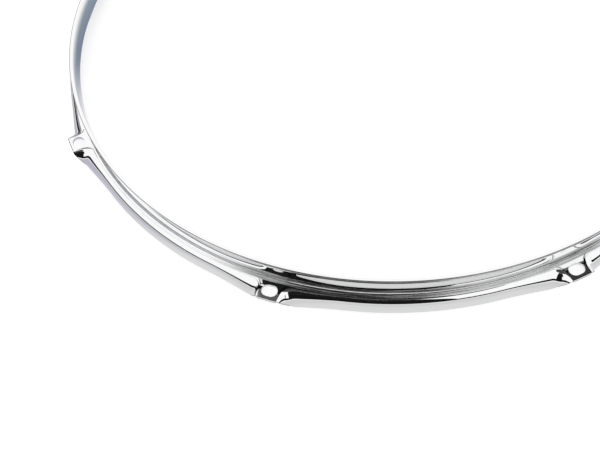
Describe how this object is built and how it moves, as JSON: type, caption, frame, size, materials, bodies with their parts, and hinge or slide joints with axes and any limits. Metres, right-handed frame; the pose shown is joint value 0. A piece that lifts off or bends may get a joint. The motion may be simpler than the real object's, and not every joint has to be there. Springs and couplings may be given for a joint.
{
  "type": "drum hoop",
  "caption": "Chromed, pressed steel drum hoop with a lipped wall, a shelf and skirt over the head's rim, and ears slotted for tension rods.",
  "frame": {"origin": "on the axis of the hoop, in the plane of the skirt's lower edge", "axes": "+Z along the axis of the hoop, from the skirt up to the lip; X and Y each pass midway between two ears, with the weld on +Y"},
  "size_m": [0.376, 0.376, 0.0224],
  "materials": {
    "strip_chrome": "bright chrome plate, polished",
    "weld_chrome": "chrome plate over a ground weld, slightly duller"
  },
  "bodies": {
    "root": {"hoop_strip": "strip_chrome", "weld_seam": "weld_chrome"}
  },
  "joints": []
}
